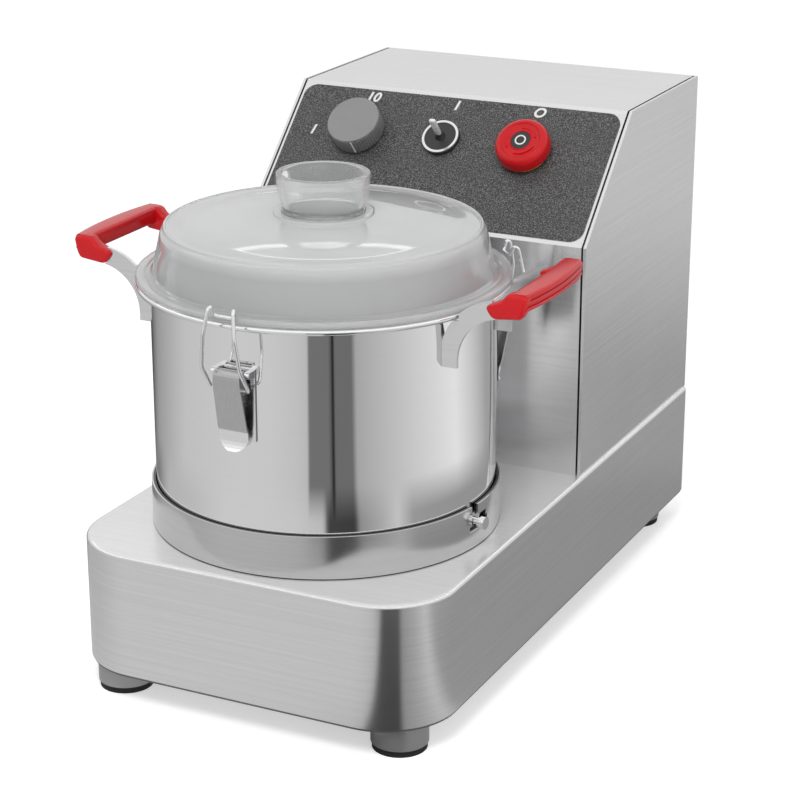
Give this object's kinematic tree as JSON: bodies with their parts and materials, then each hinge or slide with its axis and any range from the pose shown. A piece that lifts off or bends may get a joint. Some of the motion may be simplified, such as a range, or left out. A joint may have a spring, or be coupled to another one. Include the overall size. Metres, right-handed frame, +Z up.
{
  "type": "food chopper",
  "caption": "Table-top bowl cutter: steel bowl with clear lid, feed cup and wire latches over a belt-driven knife, with a sloping control console behind.",
  "frame": {"origin": "bottom centre of the machine's box, on the bench under the feet", "axes": "X across the machine to its right, Y from the bowl at the front to the console, Z up"},
  "size_m": [0.3766, 0.5632, 0.3981],
  "materials": {
    "brushed_stainless": "brushed, semi-matt",
    "polished_stainless": "polished",
    "bright_wire": "bright",
    "dark_plate": "matt black",
    "cast_aluminium": "as cast",
    "motor_paint": "satin",
    "stator_copper": "wound copper and laminations",
    "core_steel": "laminated steel",
    "bearing_steel": "ground",
    "blade_steel": "ground",
    "clear_plastic": "clear",
    "red_plastic": "gloss",
    "yellow_plastic": "gloss",
    "black_label": "printed, fine speckle",
    "black_plastic": "satin",
    "grey_plastic": "satin",
    "cap_grey": "satin",
    "white_nylon": "satin",
    "board_green": "satin",
    "black_rubber": "matt",
    "clear_rubber": "translucent"
  },
  "bodies": {
    "base": {"base_shell": "brushed_stainless", "base_plate": "dark_plate", "foot_cups": "brushed_stainless", "foot_pads": "black_rubber", "bowl_ring": "brushed_stainless", "console_front": "brushed_stainless", "console_side_left": "brushed_stainless", "console_side_right": "brushed_stainless", "console_rear": "brushed_stainless", "control_label": "black_label", "speed_pot": "black_plastic", "switch_bezel": "bright_wire", "switch_body": "black_plastic", "stop_collar": "yellow_plastic", "stop_contact_block": "black_plastic", "control_board": "board_green", "motor_mount": "cast_aluminium", "motor_housing": "motor_paint", "motor_stator": "stator_copper", "motor_bearings": "bearing_steel", "bearing_housing": "cast_aluminium", "spindle_bearings": "bearing_steel", "spindle_seal": "black_rubber", "inlet_gland": "black_plastic", "casing_screws": "bright_wire", "belt": "black_rubber"},
    "rotor": {"motor_shaft": "bearing_steel", "rotor_core": "core_steel", "motor_pulley": "cast_aluminium"},
    "drive_spindle": {"spindle": "bearing_steel", "spindle_pulley": "cast_aluminium"},
    "bowl_seat": {"bowl_bush": "white_nylon"},
    "bowl_body": {"bowl": "polished_stainless", "bowl_floor": "polished_stainless", "bowl_tube": "polished_stainless", "bowl_studs": "polished_stainless", "handle_straps": "brushed_stainless", "handle_grips": "red_plastic", "latch_plates": "bright_wire", "latch_pins": "bright_wire"},
    "front_latch": {"front_lever": "bright_wire"},
    "right_latch": {"right_lever": "bright_wire"},
    "left_latch": {"left_lever": "bright_wire"},
    "front_wire": {"front_bail": "bright_wire"},
    "right_wire": {"right_bail": "bright_wire"},
    "left_wire": {"left_bail": "bright_wire"},
    "lid_body": {"lid": "clear_plastic", "lid_seal": "clear_rubber"},
    "cup_body": {"feed_cup": "clear_plastic"},
    "knife": {"blade_hub": "blade_steel", "lower_blade": "blade_steel", "upper_blade": "blade_steel", "blade_spacers": "blade_steel", "blade_knob": "black_plastic"},
    "speed_control": {"speed_knob": "grey_plastic", "knob_cap": "cap_grey", "pot_shaft": "bearing_steel"},
    "start_toggle": {"switch_lever": "bright_wire"},
    "stop_plunger": {"stop_stem": "black_plastic"},
    "stop_head": {"stop_button": "red_plastic"}
  },
  "joints": [
    {"name": "motor_spin", "type": "hinge", "parent": "base", "child": "rotor", "pos_m": [0, 0.146, 0.05], "axis": [0, 0, 1], "continuous": true},
    {"name": "spindle_spin", "type": "hinge", "parent": "base", "child": "drive_spindle", "pos_m": [0, -0.1295, 0.15], "axis": [0, 0, 1], "continuous": true},
    {"name": "bowl_lift", "type": "slide", "parent": "base", "child": "bowl_seat", "axis": [0, 0, 1], "range_m": [0, 0.2]},
    {"name": "bowl_twist", "type": "hinge", "parent": "bowl_seat", "child": "bowl_body", "pos_m": [0, -0.1295, 0.15], "axis": [0, 0, 1], "range_deg": [0, 6]},
    {"name": "knife_spin", "type": "hinge", "parent": "bowl_seat", "child": "knife", "pos_m": [0, -0.1295, 0.15], "axis": [0, 0, 1], "continuous": true},
    {"name": "lid_lift", "type": "slide", "parent": "bowl_body", "child": "lid_body", "axis": [0, 0, 1], "range_m": [0, 0.15]},
    {"name": "cup_lift", "type": "slide", "parent": "lid_body", "child": "cup_body", "axis": [0, 0, 1], "range_m": [0, 0.08]},
    {"name": "front_lever_turn", "type": "hinge", "parent": "bowl_body", "child": "front_latch", "pos_m": [-0.00235, -0.26398, 0.273], "axis": [-0.9998, 0.0175, 0], "range_deg": [0, 110]},
    {"name": "front_bail_turn", "type": "hinge", "parent": "front_latch", "child": "front_wire", "pos_m": [-0.00239, -0.26618, 0.2616], "axis": [-0.9998, 0.0175, 0], "range_deg": [-110, 0]},
    {"name": "right_lever_turn", "type": "hinge", "parent": "bowl_body", "child": "right_latch", "pos_m": [0.10151, -0.04126, 0.273], "axis": [0.6561, -0.7547, 0], "range_deg": [0, 110]},
    {"name": "right_bail_turn", "type": "hinge", "parent": "right_latch", "child": "right_wire", "pos_m": [0.10317, -0.03982, 0.2616], "axis": [0.6561, -0.7547, 0], "range_deg": [-110, 0]},
    {"name": "left_lever_turn", "type": "hinge", "parent": "bowl_body", "child": "left_latch", "pos_m": [-0.10151, -0.04126, 0.273], "axis": [0.6561, 0.7547, 0], "range_deg": [0, 110]},
    {"name": "left_bail_turn", "type": "hinge", "parent": "left_latch", "child": "left_wire", "pos_m": [-0.10317, -0.03982, 0.2616], "axis": [0.6561, 0.7547, 0], "range_deg": [-110, 0]},
    {"name": "speed_turn", "type": "hinge", "parent": "base", "child": "speed_control", "pos_m": [-0.0775, 0.08076, 0.36581], "axis": [0, 0.6957, -0.7183], "range_deg": [0, 270]},
    {"name": "start_tip", "type": "hinge", "parent": "base", "child": "start_toggle", "pos_m": [-0.0032, 0.07932, 0.36859], "axis": [1, 0, 0], "range_deg": [-16, 0], "stiffness_Nm_per_rad": 0.05, "springref_deg": 5.73},
    {"name": "stop_push", "type": "slide", "parent": "base", "child": "stop_plunger", "axis": [0, 0.6957, -0.7183], "range_m": [0, 0.004], "stiffness_N_per_m": 500, "springref_m": -0.002},
    {"name": "stop_twist", "type": "hinge", "parent": "stop_plunger", "child": "stop_head", "pos_m": [0.0714, 0.07947, 0.36456], "axis": [0, 0.6957, -0.7183], "range_deg": [0, 45], "stiffness_Nm_per_rad": 0.02, "springref_deg": -5.73}
  ],
  "couplings": [
    {"joint": "spindle_spin", "follows": "motor_spin", "ratio": 0.85714},
    {"joint": "knife_spin", "follows": "motor_spin", "ratio": 0.85714},
    {"joint": "front_bail_turn", "follows": "front_lever_turn", "ratio": -1},
    {"joint": "right_bail_turn", "follows": "right_lever_turn", "ratio": -1},
    {"joint": "left_bail_turn", "follows": "left_lever_turn", "ratio": -1}
  ]
}
